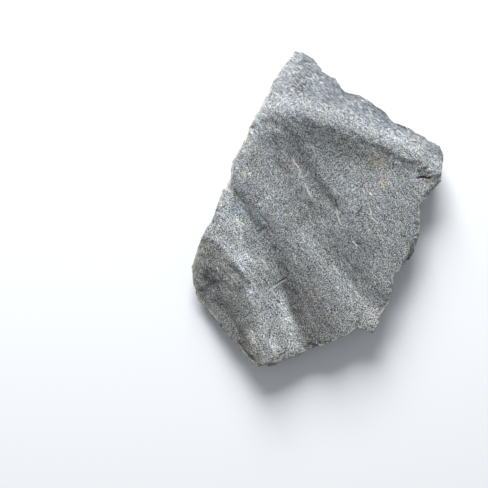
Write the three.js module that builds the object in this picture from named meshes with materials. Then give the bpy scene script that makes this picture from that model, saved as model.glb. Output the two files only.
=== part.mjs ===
// A hand-sized slab of phyllite, split from the bed along its cleavage.
// The cleavage plane lies along X and Y and the slab rests on its underside at z = 0, in millimetres.
// A ridge crosses the top near its thin end, the left part of the top is one sheet lower than the
// main face, and small folds run down the face. The broken sides show the edges of the sheets.
import * as THREE from "three";

// The main face: its height above the surface the slab rests on, its tilt, and how it undulates.
const mainFace = { height: 12.6, tiltX: -0.012, tiltY: 0.014 };
const undulations = [
  { height: 0.25, length: 9, seed: 3 },
  { height: 0.12, length: 4, seed: 5 },
];

// The ridge near the thin end: a steep side towards the main face and a long slope towards the tip.
// Each point of the crest is x, y, its rise above the main face and the width of the steep side.
const ridge = {
  backSlope: 0.3,
  backCurve: 0.0015,
  crest: [
    [-30, 30.5, 1.8, 9],
    [-17.8, 32.2, 2.4, 11],
    [-8.7, 32.7, 3.2, 13],
    [-1.5, 30.6, 3.8, 13.5],
    [7.3, 27.7, 4, 13],
    [15.6, 24.7, 3.9, 12],
    [25.5, 20.9, 3.5, 9.5],
    [34.9, 16, 2.9, 6.5],
    [42, 11.4, 2.3, 4.8],
    [52, 4.6, 2, 6],
  ],
};

// The step on the left, where the top sheet has split away along the folds: a scarp on the right of
// its foot, and on the left a gentle rise to a blunt edge from which the face falls to the rim.
// Each point of the foot is x, y, the drop of the scarp, its width and how far off the blunt edge is.
const step = {
  steepening: 1.6,
  humpRise: 2.7,
  fall: 0.42,
  foot: [
    [-36.5, 11.8, 1.6, 4.2, 16.5],
    [-31.4, 6.6, 1.7, 4.4, 16.5],
    [-26.9, 0.6, 1.9, 4.8, 16.6],
    [-21.9, -6, 2.1, 5.6, 16.6],
    [-15.2, -15.1, 2.4, 7, 15.6],
    [-11.6, -25.5, 2.7, 8.6, 14],
    [-8.5, -37, 2.8, 9.6, 14],
    [-4.6, -49, 2.8, 9.6, 15],
    [-2, -60, 2.6, 9.6, 15],
  ],
};

// Small folds of the main face. Coming from the left, the face dips to the line, rises steeply on
// its right and then falls slowly. Each fold dies out towards the two ends of its line.
const foldEndShare = 0.2;
const folds = [
  {
    dip: 0.3,
    dipWidth: 5,
    rise: 1.55,
    width: 4.8,
    fallLength: 20,
    line: [
      [-17, 35.5],
      [-8.6, 24.6],
      [-0.8, 13.2],
      [8, 1],
      [12.6, -6.6],
    ],
  },
  {
    dip: 0.2,
    dipWidth: 4,
    rise: 1.2,
    width: 4.4,
    fallLength: 10,
    line: [
      [-19, 28],
      [-13.5, 21.5],
      [-6.2, 7],
      [-1.2, -3],
    ],
  },
  {
    dip: 1.1,
    dipWidth: 9,
    rise: 1.7,
    width: 10.5,
    fallLength: 26,
    line: [
      [-3, 2],
      [4, -9.5],
      [12.5, -21.6],
      [21, -31],
      [31, -41],
    ],
  },
];

// Plan view of the slab, anticlockwise from the tip. The corners are those of the broken edge.
const outline = [
  // left edge, from the tip down to the chipped shoulder
  [-8, 57.1],
  [-12, 52.5],
  [-16.4, 44.7],
  [-20, 37.1],
  [-24.4, 29.1],
  [-26.7, 22.9],
  [-30.8, 16.4],
  [-31.6, 10],
  [-34.2, 6.2],
  // bulge of the lower left
  [-37.8, -4.4],
  [-42.2, -12.2],
  [-45.3, -21.1],
  [-45, -27.5],
  [-43.1, -34.3],
  [-35.8, -42.5],
  [-29.9, -48.9],
  [-26.5, -53.4],
  [-21.8, -57.9],
  // bottom edge, up to the notch
  [-14.9, -56.2],
  [-7.3, -54],
  [-3.3, -51.6],
  [3.6, -49.6],
  [10.2, -46.2],
  [14.4, -43.1],
  [16.7, -44.2],
  [20, -45.8],
  [21.8, -42.9],
  // right edge, in four broken facets
  [23.5, -38.2],
  [26.2, -32.7],
  [28, -24.4],
  [31.5, -19.5],
  [35.3, -14.2],
  [36.6, -9.8],
  [36.8, 0.7],
  [39.5, 3.3],
  [44.2, 9.1],
  [44.4, 12],
  [45.3, 18.9],
  [44.2, 22.2],
  // upper right edge, back to the tip
  [38.9, 25.5],
  [34.5, 28.7],
  [28.7, 31.1],
  [23.6, 36.2],
  [18.7, 39.9],
  [10.4, 42],
  [6.7, 46.7],
  [2.9, 49.3],
  [-1.2, 55.1],
  [-4.7, 56.7],
];

// The sheets of the broken side, from the bottom up: the share of the side's height that each
// reaches up to, how far it stands back from the outline on the plain sides and on the sloping
// upper right flank, and how far its edge wanders in broad bays and in small jags.
const sheets = [
  { reachesTo: 0.17, plain: 3, flank: 1.4, bays: 1, jags: 0.7 },
  { reachesTo: 0.45, plain: 1.4, flank: 0, bays: 0.6, jags: 0.6 },
  { reachesTo: 0.6, plain: 1.7, flank: 0.3, bays: 0.8, jags: 0.6 },
  { reachesTo: 0.86, plain: 0.5, flank: 0.6, bays: 0.4, jags: 0.6 },
  { reachesTo: 1, plain: 0, flank: 1.5, bays: 0, jags: 0.3 },
];
const bays = { length: 13, seed: 50 };
const jags = { length: 3.1, seed: 20 };
const sheetJoint = { height: 0.3, wander: 0.05, seed: 40 };

// Ledges of a lower sheet that stand out past the edge above them, each at an outline point.
const toes = [
  { at: [33.4, -16.6], sheet: 2, reach: 3, width: 4.8, blendOver: 3.2 },
  { at: [-15.5, -56.4], sheet: 1, reach: 3, width: 4.5, blendOver: 3 },
  { at: [41, 24], sheet: 1, reach: 1.2, width: 7.5, blendOver: 5 },
];

// How the top breaks off at its rim: a narrow ragged chamfer all round, a wider one on the upper
// left, and ledges down the upper right flank. Each of these two is the part of the rim that faces
// within so many degrees of one direction, seen from the middle.
const chamfer = { drop: 0.4, width: 1.6 };
const shoulder = { facing: 148, within: 26, blendOver: 12, drop: 0.9, width: 4.2 };
const flank = { facing: 62, within: 20, blendOver: 19, drop: 4.6, width: 8, ledgeHeight: 1.15 };
const flankCrispness = 0.75;
const raggedness = { amount: 0.5, length: 5, seed: 7 };

// The underside: flat in the middle, broken away towards the rim sheet by sheet.
const underside = { flatShare: 0.68, rimRise: 2.6, sheetThickness: 0.9, sheetDip: 0.18 };
const undersideWaves = { height: 2.4, length: 11, seed: 11, sunk: 0.4 };

// The mesh: square rings from the middle of each face to its rim, then rows down the side.
// Rings lie closer together towards the rim.
const ringCount = 20;
const ringCrowding = 0.22;
const columnCount = 8 * ringCount;

const clamp01 = (t) => Math.min(1, Math.max(0, t));

const smooth = (t) => clamp01(t) ** 2 * (3 - 2 * clamp01(t));

const mix = (a, b, t) => a + (b - a) * t;

// A repeatable random number from 0 to 1 for a lattice point.
function latticeValue(i, j, seed) {
  const wave = Math.sin(i * 127.1 + j * 311.7 + seed * 74.7) * 43758.5453;
  return wave - Math.floor(wave);
}

// Smooth noise from -1 to 1 over the plan, with features of a given length.
function noise(point, { length, seed }) {
  const i = Math.floor(point.x / length);
  const j = Math.floor(point.y / length);
  const u = smooth(point.x / length - i);
  const v = smooth(point.y / length - j);
  const low = mix(latticeValue(i, j, seed), latticeValue(i + 1, j, seed), u);
  const high = mix(latticeValue(i, j + 1, seed), latticeValue(i + 1, j + 1, seed), u);
  return 2 * mix(low, high, v) - 1;
}

// Distance from a point to a line of points, positive on its left, and how far along it lies, 0 to 1.
function besideLine(line, { x, y }) {
  let best = { distance: Infinity, along: 0 };
  for (let i = 0; i + 1 < line.length; i++) {
    const [ax, ay] = line[i];
    const [bx, by] = line[i + 1];
    const lengthSquared = (bx - ax) ** 2 + (by - ay) ** 2;
    const share = clamp01(((x - ax) * (bx - ax) + (y - ay) * (by - ay)) / lengthSquared);
    const away = Math.hypot(x - mix(ax, bx, share), y - mix(ay, by, share));
    if (away < Math.abs(best.distance)) {
      const side = (bx - ax) * (y - ay) - (by - ay) * (x - ax) < 0 ? -1 : 1;
      best = { distance: side * away, along: (i + share) / (line.length - 1) };
    }
  }
  return best;
}

// One of the values that the points of a line carry, read off at a share of the way along it.
function valueAlong(line, along, index) {
  const place = along * (line.length - 1);
  const before = Math.min(Math.floor(place), line.length - 2);
  return mix(line[before][index], line[before + 1][index], place - before);
}

// The outline as evenly spaced columns, with one on every corner.
function outlineColumns() {
  const lengths = outline.map(([x, y], i) => {
    const [nextX, nextY] = outline[(i + 1) % outline.length];
    return Math.hypot(nextX - x, nextY - y);
  });
  const perimeter = lengths.reduce((sum, length) => sum + length, 0);
  const columns = [];
  let walked = 0;
  outline.forEach(([x, y], i) => {
    const [nextX, nextY] = outline[(i + 1) % outline.length];
    const first = Math.round((walked / perimeter) * columnCount);
    walked += lengths[i];
    const last = Math.round((walked / perimeter) * columnCount);
    for (let column = first; column < last; column++) {
      const share = (column - first) / (last - first);
      columns.push(new THREE.Vector2(mix(x, nextX, share), mix(y, nextY, share)));
    }
  });
  return columns;
}

const columns = outlineColumns();

// How much a point of the rim belongs to the shoulder or the flank, 0 to 1.
function shareOf(part, point) {
  const turn = THREE.MathUtils.radToDeg(point.angle()) - part.facing;
  return 1 - smooth((Math.abs(turn) - part.within) / part.blendOver);
}

// The outline at a place between two columns, drawn in by a distance.
function outlinePoint(place, inset) {
  const before = columns[Math.floor(place) % columnCount];
  const after = columns[(Math.floor(place) + 1) % columnCount];
  const point = before.clone().lerp(after, place - Math.floor(place));
  return point.setLength(point.length() - inset);
}

function topHeight(point, rimShare, edge) {
  const rimDistance = edge.length() * (1 - rimShare);
  let z = mainFace.height + mainFace.tiltX * point.x + mainFace.tiltY * point.y;

  const crest = besideLine(ridge.crest, point);
  const crestRise = valueAlong(ridge.crest, crest.along, 2);
  const steepWidth = valueAlong(ridge.crest, crest.along, 3);
  const steep = crestRise * clamp01(1 + crest.distance / steepWidth) ** 2;
  const back = crestRise - ridge.backSlope * crest.distance - ridge.backCurve * crest.distance ** 2;
  z += crest.distance < 0 ? steep : back;

  const foot = besideLine(step.foot, point);
  const drop = valueAlong(step.foot, foot.along, 2);
  const scarpWidth = valueAlong(step.foot, foot.along, 3);
  const left = Math.max(0, -foot.distance);
  z -= drop * clamp01(1 - Math.max(0, foot.distance) / scarpWidth) ** step.steepening;
  const humpWidth = valueAlong(step.foot, foot.along, 4);
  z += step.humpRise * Math.min(1, left / humpWidth);
  z -= step.fall * Math.max(0, left - humpWidth);

  for (const fold of folds) {
    const { distance, along } = besideLine(fold.line, point);
    const fade = smooth(Math.min(along, 1 - along) / foldEndShare);
    const risen = smooth(distance / fold.width + 0.5);
    const fallen = clamp01((distance + fold.width / 2) / fold.fallLength);
    const dipped = clamp01(1 + (distance + fold.width / 2) / fold.dipWidth) * (1 - risen);
    z += fade * (fold.rise * (risen - fallen) - fold.dip * dipped);
  }

  for (const undulation of undulations) z += undulation.height * noise(point, undulation);

  const ragged = 1 + raggedness.amount * noise(point, raggedness);
  z -= chamfer.drop * ragged * clamp01(1 - rimDistance / chamfer.width);
  z -= shoulder.drop * shareOf(shoulder, edge) * clamp01(1 - rimDistance / shoulder.width);
  const slope = flank.drop * shareOf(flank, edge) * clamp01(1 - (rimDistance * ragged) / flank.width);
  const ledges = flank.ledgeHeight * Math.round(slope / flank.ledgeHeight);
  return z - mix(slope, ledges, flankCrispness);
}

function bottomHeight(point, rimShare) {
  const broken = (rimShare - underside.flatShare) / (1 - underside.flatShare);
  const waves = undersideWaves.height * noise(point, undersideWaves) - undersideWaves.sunk;
  const lifted = Math.max(0, underside.rimRise * broken + waves);
  const wholeSheets = Math.floor(lifted / underside.sheetThickness);
  return Math.min(lifted, wholeSheets * underside.sheetThickness + underside.sheetDip);
}

const positions = [];
const triangles = [];

function addVertex(x, y, z) {
  positions.push(x, y, z);
  return positions.length / 3 - 1;
}

// Two triangles for a quad whose corners run anticlockwise seen from outside, split from a to c.
function addQuad(a, b, c, d) {
  triangles.push(a, b, c, a, c, d);
}

// Grid square (i, j), from -ringCount to ringCount, as a ring and a place round the outline.
function ringPlace(i, j) {
  const ring = Math.max(Math.abs(i), Math.abs(j));
  if (ring === 0) return { ring, place: 0 };
  let walked;
  if (j === ring) walked = ring - i;
  else if (i === -ring) walked = 3 * ring - j;
  else if (j === -ring) walked = 5 * ring + i;
  else walked = 7 * ring + j;
  return { ring, place: ((walked * ringCount) / ring) % columnCount };
}

// How far a ring lies from the middle of the face to its rim, 0 to 1.
const ringShare = (ring) => (ring / ringCount) * (1 + ringCrowding * (1 - ring / ringCount));

// A face of the slab: inset draws the rim in, height gives z, and up says which way it faces.
// Returns the rim's vertices in column order.
function addFace(inset, height, up) {
  const size = 2 * ringCount + 1;
  const indices = [];
  const rimVertices = new Array(columnCount);
  for (let j = -ringCount; j <= ringCount; j++) {
    for (let i = -ringCount; i <= ringCount; i++) {
      const { ring, place } = ringPlace(i, j);
      const edge = outlinePoint(place, inset(place));
      const point = edge.clone().multiplyScalar(ringShare(ring));
      const z = height(point, ringShare(ring), edge);
      const index = addVertex(point.x, point.y, z);
      indices.push(index);
      if (ring === ringCount) rimVertices[Math.round(place)] = index;
    }
  }
  for (let row = 0; row + 1 < size; row++) {
    for (let column = 0; column + 1 < size; column++) {
      const a = indices[row * size + column];
      const b = indices[row * size + column + 1];
      const c = indices[(row + 1) * size + column + 1];
      const d = indices[(row + 1) * size + column];
      // Each square is split along the diagonal that runs from its inner corner to its outer one.
      const alongAc = row < ringCount === column < ringCount;
      const [p, q, r, s] = alongAc ? [a, b, c, d] : [b, c, d, a];
      if (up) addQuad(p, q, r, s);
      else addQuad(p, s, r, q);
    }
  }
  return rimVertices;
}

// How far a sheet's broken edge stands back from the outline at a column.
function sheetInset(index, place) {
  const sheet = sheets[index];
  const corner = outlinePoint(place, 0);
  let inset = mix(sheet.plain, sheet.flank, shareOf(flank, corner));
  inset += sheet.bays * noise(corner, { length: bays.length, seed: bays.seed + index });
  inset += sheet.jags * noise(corner, { length: jags.length, seed: jags.seed + index });
  for (const toe of toes) {
    const away = Math.hypot(corner.x - toe.at[0], corner.y - toe.at[1]);
    if (toe.sheet === index) inset -= toe.reach * smooth((toe.width - away) / toe.blendOver);
  }
  return inset;
}

const topSheet = sheets.length - 1;
const topRim = addFace((place) => sheetInset(topSheet, place), topHeight, true);
const bottomRim = addFace((place) => sheetInset(0, place), bottomHeight, false);

// The side: below each joint between two sheets is the lower sheet's edge, and above it the upper's.
function addSide() {
  const zOf = (vertex) => positions[3 * vertex + 2];
  const rows = [bottomRim];
  for (let joint = 1; joint < sheets.length; joint++) {
    for (const [sheet, lift] of [
      [joint - 1, -sheetJoint.height / 2],
      [joint, sheetJoint.height / 2],
    ]) {
      rows.push(
        columns.map((_, column) => {
          const point = outlinePoint(column, sheetInset(sheet, column));
          const waves = { length: bays.length, seed: sheetJoint.seed + joint };
          const share = sheets[joint - 1].reachesTo + sheetJoint.wander * noise(point, waves);
          const z = mix(zOf(bottomRim[column]), zOf(topRim[column]), share) + lift;
          return addVertex(point.x, point.y, z);
        }),
      );
    }
  }
  rows.push(topRim);
  for (let row = 0; row + 1 < rows.length; row++) {
    for (let column = 0; column < columnCount; column++) {
      const next = (column + 1) % columnCount;
      addQuad(rows[row][column], rows[row][next], rows[row + 1][next], rows[row + 1][column]);
    }
  }
}

addSide();

const geometry = new THREE.BufferGeometry();
geometry.setAttribute("position", new THREE.Float32BufferAttribute(positions, 3));
geometry.setIndex(triangles);
geometry.computeBoundingBox();
const middle = geometry.boundingBox.getCenter(new THREE.Vector3());
geometry.translate(-middle.x, -middle.y, 0);
geometry.computeVertexNormals();

const stone = new THREE.MeshStandardMaterial({ color: 0x7d8180, roughness: 0.62, metalness: 0 });
const slab = new THREE.Mesh(geometry, stone);
slab.name = "phyllite_slab";

const phyllite = new THREE.Group();
phyllite.add(slab);

export default phyllite;
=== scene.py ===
import math
import bmesh
import bpy
import numpy as np
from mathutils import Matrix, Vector


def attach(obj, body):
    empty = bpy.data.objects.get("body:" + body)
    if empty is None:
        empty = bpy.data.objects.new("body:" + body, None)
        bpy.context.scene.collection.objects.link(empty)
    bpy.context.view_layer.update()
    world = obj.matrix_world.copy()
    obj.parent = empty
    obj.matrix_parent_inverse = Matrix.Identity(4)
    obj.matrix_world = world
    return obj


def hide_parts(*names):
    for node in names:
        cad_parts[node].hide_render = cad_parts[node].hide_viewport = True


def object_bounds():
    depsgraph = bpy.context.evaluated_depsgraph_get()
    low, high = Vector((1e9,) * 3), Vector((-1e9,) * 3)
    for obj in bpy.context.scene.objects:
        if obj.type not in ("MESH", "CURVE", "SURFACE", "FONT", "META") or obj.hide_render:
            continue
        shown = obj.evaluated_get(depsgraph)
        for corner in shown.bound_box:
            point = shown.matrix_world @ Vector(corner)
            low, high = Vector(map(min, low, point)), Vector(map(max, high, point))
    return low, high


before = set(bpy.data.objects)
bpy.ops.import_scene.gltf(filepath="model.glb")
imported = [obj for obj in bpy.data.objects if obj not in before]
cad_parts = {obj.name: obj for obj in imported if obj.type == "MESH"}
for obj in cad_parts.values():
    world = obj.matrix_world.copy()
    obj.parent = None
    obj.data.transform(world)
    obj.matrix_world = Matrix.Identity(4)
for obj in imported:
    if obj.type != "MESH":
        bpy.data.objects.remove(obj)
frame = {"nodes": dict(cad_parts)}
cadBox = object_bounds()
mm = 0.001
print("frame loaded:", ", ".join(frame["nodes"]))


# Small helpers for node trees: a value is either a number or another node's output.
def feed(tree, socket, value):
    if isinstance(value, bpy.types.NodeSocket):
        tree.links.new(value, socket)
    else:
        socket.default_value = value


def addNode(tree, kind, inputs=None, **settings):
    node = tree.nodes.new(kind)
    for name, setting in settings.items():
        setattr(node, name, setting)
    for name, value in (inputs or {}).items():
        feed(tree, node.inputs[name], value)
    return node


def calc(tree, operation, *values):
    node = addNode(tree, "ShaderNodeMath", operation=operation)
    for socket, value in zip(node.inputs, values):
        feed(tree, socket, value)
    return node.outputs[0]


def product(tree, first, *others):
    for other in others:
        first = calc(tree, "MULTIPLY", first, other)
    return first


def total(tree, first, *others):
    for other in others:
        first = calc(tree, "ADD", first, other)
    return first


def centred(tree, value):  # a noise about one half moved to lie about zero
    return calc(tree, "SUBTRACT", value, 0.5)


def vectorCalc(tree, operation, *values):
    node = addNode(tree, "ShaderNodeVectorMath", operation=operation)
    sockets = [node.inputs[0], node.inputs[3]] if operation == "SCALE" else node.inputs
    for socket, value in zip(sockets, values):
        feed(tree, socket, value)
    return node.outputs["Value"] if operation == "DOT_PRODUCT" else node.outputs[0]


def rise(tree, value, low, high, toLow=0.0, toHigh=1.0):  # a smooth step from low to high
    inputs = {"Value": value, "From Min": low, "From Max": high, "To Min": toLow, "To Max": toHigh}
    node = addNode(tree, "ShaderNodeMapRange", inputs, interpolation_type="SMOOTHSTEP")
    return node.outputs[0]


def noise(tree, vector, size, detail=2.0, roughness=0.5, seed=0.0):  # 0 to 1, features of about size
    scale = calc(tree, "DIVIDE", 1.0, size) if isinstance(size, bpy.types.NodeSocket) else 1.0 / size
    inputs = {"Vector": vector, "W": seed, "Scale": scale, "Detail": detail, "Roughness": roughness}
    return addNode(tree, "ShaderNodeTexNoise", inputs, noise_dimensions="4D").outputs[0]


def combine(tree, x, y, z):
    return addNode(tree, "ShaderNodeCombineXYZ", {"X": x, "Y": y, "Z": z}).outputs[0]


def separate(tree, vector):
    return addNode(tree, "ShaderNodeSeparateXYZ", {"Vector": vector}).outputs


def mixNumber(tree, share, first, second):
    node = addNode(tree, "ShaderNodeMix", data_type="FLOAT")
    for index, value in ((0, share), (2, first), (3, second)):  # the sockets for numbers
        feed(tree, node.inputs[index], value)
    return node.outputs[0]


def newGeometryTree(name, controls):
    tree = bpy.data.node_groups.new(name, "GeometryNodeTree")
    tree.interface.new_socket(name="Geometry", in_out="INPUT", socket_type="NodeSocketGeometry")
    tree.interface.new_socket(name="Geometry", in_out="OUTPUT", socket_type="NodeSocketGeometry")
    for label, value in controls.items():
        kind = "NodeSocketMaterial" if isinstance(value, bpy.types.Material) else "NodeSocketFloat"
        tree.interface.new_socket(name=label, in_out="INPUT", socket_type=kind)
    source = tree.nodes.new("NodeGroupInput").outputs
    sink = tree.nodes.new("NodeGroupOutput").inputs[0]
    return tree, source, sink


def addTree(obj, tree, controls):
    modifier = obj.modifiers.new(tree.name, "NODES")
    modifier.node_group = tree
    for item in tree.interface.items_tree:
        if item.in_out == "INPUT" and item.name in controls:
            modifier[item.identifier] = controls[item.name]


# The lineation of the stone runs along one direction of the cleavage face, towards its lower right.
# On the upper right flank the sheets end in lines that run with the edge instead.
lineationTurn = math.radians(-53)
flankTurn = math.radians(-35.2)
flankLine = {
    "point": (-4.7 * mm, 56.7 * mm),
    "facing": flankTurn + math.radians(90),
    "fullShare": 0.4,  # of the flank's reach, from the edge inwards
}

# How the sheets break: along the sides, at the rim of the top and down the upper right flank.
sheetBreaks = {
    "Thick sheet": 2.3 * mm,
    "Thick sheet depth": 0.45 * mm,
    "Thin sheet": 1.15 * mm,
    "Thin sheet depth": 0.3 * mm,
    "Jag size": 2.2 * mm,
    "Jag depth": 0.2 * mm,
    "Bite size": 4.5 * mm,
    "Bite reach": 2.6 * mm,
    "Bite drop": 0.5 * mm,
    "Ledge height": 0.85 * mm,
    "Ledge share": 0.12,
    "Flank ledge share": 0.85,
    "Flank reach": 11 * mm,
    "Seed": 3.0,
}
# The same breaks' finer rules. Two numbers in brackets are where a smooth step starts and ends, and
# a slope is the upward part of the softened normal.
breakRules = {
    "softening": 4,
    "sideSlope": (0.8, 0.45),
    "topSlope": (0.25, 0.6),
    "upperSlope": (-0.35, 0.0),
    "flankCalm": -0.75,  # how much less jagged the flank is
    "ledgeRun": 9 * mm,
    "ledgeSway": 2.2,
    "ledgeRiser": (0.3, 0.7),
    "biteFrom": (0.47, 0.66),
    "biteEdge": 0.5 * mm,
    "biteFade": (2.4 * mm, 0.2 * mm),
    "sheetRun": 16 * mm,
    "sheetSway": 2.0,
    "sheetSeedStep": 3.7,
    "swing": 3.0,  # brings a centred noise to about -1 to 1
}
# The two kinds of sheet: over what length the edge of one changes along the rim.
sheetKinds = (
    {"name": "Thick sheet", "stretch": 9 * mm, "seed": 11.0},
    {"name": "Thin sheet", "stretch": 4 * mm, "seed": 23.0},
)

# The strips that distances are measured from, each a range of slopes: the middle of the sides, the
# top for the breaks, and the top for the finish.
strips = {"softening": 3, "side": (-0.5, 0.5), "top": (0.6, 2.0), "paintedTop": (0.55, 2.0)}


def softened(tree, value, steps, kind="FLOAT"):
    inputs = {"Value": value, "Iterations": steps}
    return addNode(tree, "GeometryNodeBlurAttribute", inputs, data_type=kind).outputs[0]


def softNormal(tree, steps):
    normal = addNode(tree, "GeometryNodeInputNormal").outputs[0]
    return softened(tree, normal, steps, "FLOAT_VECTOR")


def distanceTo(tree, geometry, strip):  # to the part of the surface whose slope lies in the strip
    normal = addNode(tree, "GeometryNodeInputNormal").outputs[0]
    slope = softened(tree, separate(tree, normal)[2], strips["softening"])
    above = calc(tree, "GREATER_THAN", slope, strip[0])
    below = calc(tree, "LESS_THAN", slope, strip[1])
    part = addNode(tree, "GeometryNodeSeparateGeometry", {"Geometry": geometry}, domain="POINT")
    feed(tree, part.inputs["Selection"], product(tree, above, below))
    gap = addNode(tree, "GeometryNodeProximity", target_element="FACES")
    feed(tree, gap.inputs[0], part.outputs["Selection"])
    return gap.outputs["Distance"]


def flankShare(tree, flat, reach):  # 1 along the upper right edge, fading out inwards
    wayX = math.cos(flankLine["facing"])
    wayY = math.sin(flankLine["facing"])
    edge = flankLine["point"][0] * wayX + flankLine["point"][1] * wayY
    inside = calc(tree, "SUBTRACT", edge, vectorCalc(tree, "DOT_PRODUCT", flat, (wayX, wayY, 0.0)))
    return rise(tree, inside, reach, product(tree, reach, flankLine["fullShare"]))


def makeBreaksTree():
    rules = breakRules
    tree, control, result = newGeometryTree("sheet breaks", sheetBreaks)
    geometry = control["Geometry"]
    seed = control["Seed"]
    x, y, z = separate(tree, addNode(tree, "GeometryNodeInputPosition").outputs[0])
    flat = combine(tree, x, y, 0.0)
    normal = softNormal(tree, rules["softening"])
    normalX, normalY, slope = separate(tree, normal)
    side = rise(tree, calc(tree, "ABSOLUTE", slope), *rules["sideSlope"])
    top = rise(tree, slope, *rules["topSlope"])

    def seeded(number):
        return calc(tree, "ADD", seed, number)

    # ledges: heights drawn to whole sheets, most of all down the flank
    flank = flankShare(tree, flat, control["Flank reach"])
    calm = calc(tree, "MULTIPLY_ADD", flank, rules["flankCalm"], 1.0)
    share = calc(tree, "MULTIPLY_ADD", flank, control["Flank ledge share"], control["Ledge share"])
    share = product(tree, share, top)
    height = control["Ledge height"]
    sway = product(tree, noise(tree, flat, rules["ledgeRun"], seed=seed), rules["ledgeSway"])
    part = calc(tree, "FRACT", total(tree, calc(tree, "DIVIDE", z, height), sway))
    stepped = calc(tree, "SUBTRACT", rise(tree, part, *rules["ledgeRiser"]), part)
    lift = product(tree, stepped, height, share)

    # bites: short stretches of the rim where the top sheet has broken off
    rimGap = distanceTo(tree, geometry, strips["side"])
    topGap = distanceTo(tree, geometry, strips["top"])
    bitten = noise(tree, flat, control["Bite size"], detail=3.0, roughness=0.6, seed=seeded(4.0))
    reach = rise(tree, bitten, *rules["biteFrom"], 0.0, control["Bite reach"])
    within = calc(tree, "SUBTRACT", reach, product(tree, rimGap, top))
    bite = rise(tree, within, 0.0, rules["biteEdge"])
    fade = rise(tree, topGap, *rules["biteFade"])
    drop = product(tree, bite, fade, control["Bite drop"], calm)
    upper = rise(tree, slope, *rules["upperSlope"])
    lift = calc(tree, "SUBTRACT", lift, product(tree, drop, upper))

    # the side: every sheet's edge stands in or out by its own amount along the rim
    outward = vectorCalc(tree, "NORMALIZE", combine(tree, normalX, normalY, 0.0))
    inset = 0.0
    for kind in sheetKinds:
        ownSeed = seeded(kind["seed"])
        wander = noise(tree, flat, rules["sheetRun"], detail=1.0, seed=ownSeed)
        level = calc(tree, "DIVIDE", z, control[kind["name"]])
        sheet = calc(tree, "FLOOR", total(tree, level, product(tree, wander, rules["sheetSway"])))
        sheetSeed = calc(tree, "MULTIPLY_ADD", sheet, rules["sheetSeedStep"], ownSeed)
        amount = centred(tree, noise(tree, flat, kind["stretch"], detail=1.0, seed=sheetSeed))
        amount = product(tree, amount, rules["swing"], control[kind["name"] + " depth"])
        inset = total(tree, inset, amount)
    jags = noise(tree, flat, control["Jag size"], roughness=0.6, seed=seeded(31.0))
    jags = product(tree, centred(tree, jags), rules["swing"], control["Jag depth"])
    inset = product(tree, total(tree, inset, jags), calm)
    outwardShift = vectorCalc(tree, "SCALE", outward, product(tree, inset, side))

    offset = vectorCalc(tree, "ADD", outwardShift, combine(tree, 0.0, 0.0, lift))
    moved = addNode(tree, "GeometryNodeSetPosition", {"Geometry": geometry, "Offset": offset})
    tree.links.new(moved.outputs[0], result)
    return tree


# The fine surface: lumps and lineation along the grain, thin flakes and mineral grains.
surfaceRelief = {
    "Lump size": 5.5 * mm,
    "Lump height": 0.16 * mm,
    "Line spacing": 1.5 * mm,
    "Line height": 0.13 * mm,
    "Flank line spacing": 1.3 * mm,
    "Flank line height": 0.3 * mm,
    "Flank reach": 12 * mm,
    "Flake size": 7 * mm,
    "Flake thickness": 0.16 * mm,
    "Grain size": 0.95 * mm,
    "Grain height": 0.07 * mm,
    "Stretch": 3.2,
    "Seed": 8.0,
}
reliefRules = {
    "softening": 5,
    "faceSlope": (0.45, 0.8),
    "swing": 2.0,
    "flankStretch": 9.0,
    "flakeEdges": (0.43, 0.52, 0.61),  # where in the noise the thin sheets end
    "flakeRiser": 0.012,
}


def alongGrain(tree, vector, stretch, turn=lineationTurn):  # X turned that way, and drawn out
    turned = addNode(tree, "ShaderNodeVectorRotate", {"Vector": vector, "Angle": -turn})
    x, y, z = separate(tree, turned.outputs[0])
    return combine(tree, calc(tree, "DIVIDE", x, stretch), y, z)


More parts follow.
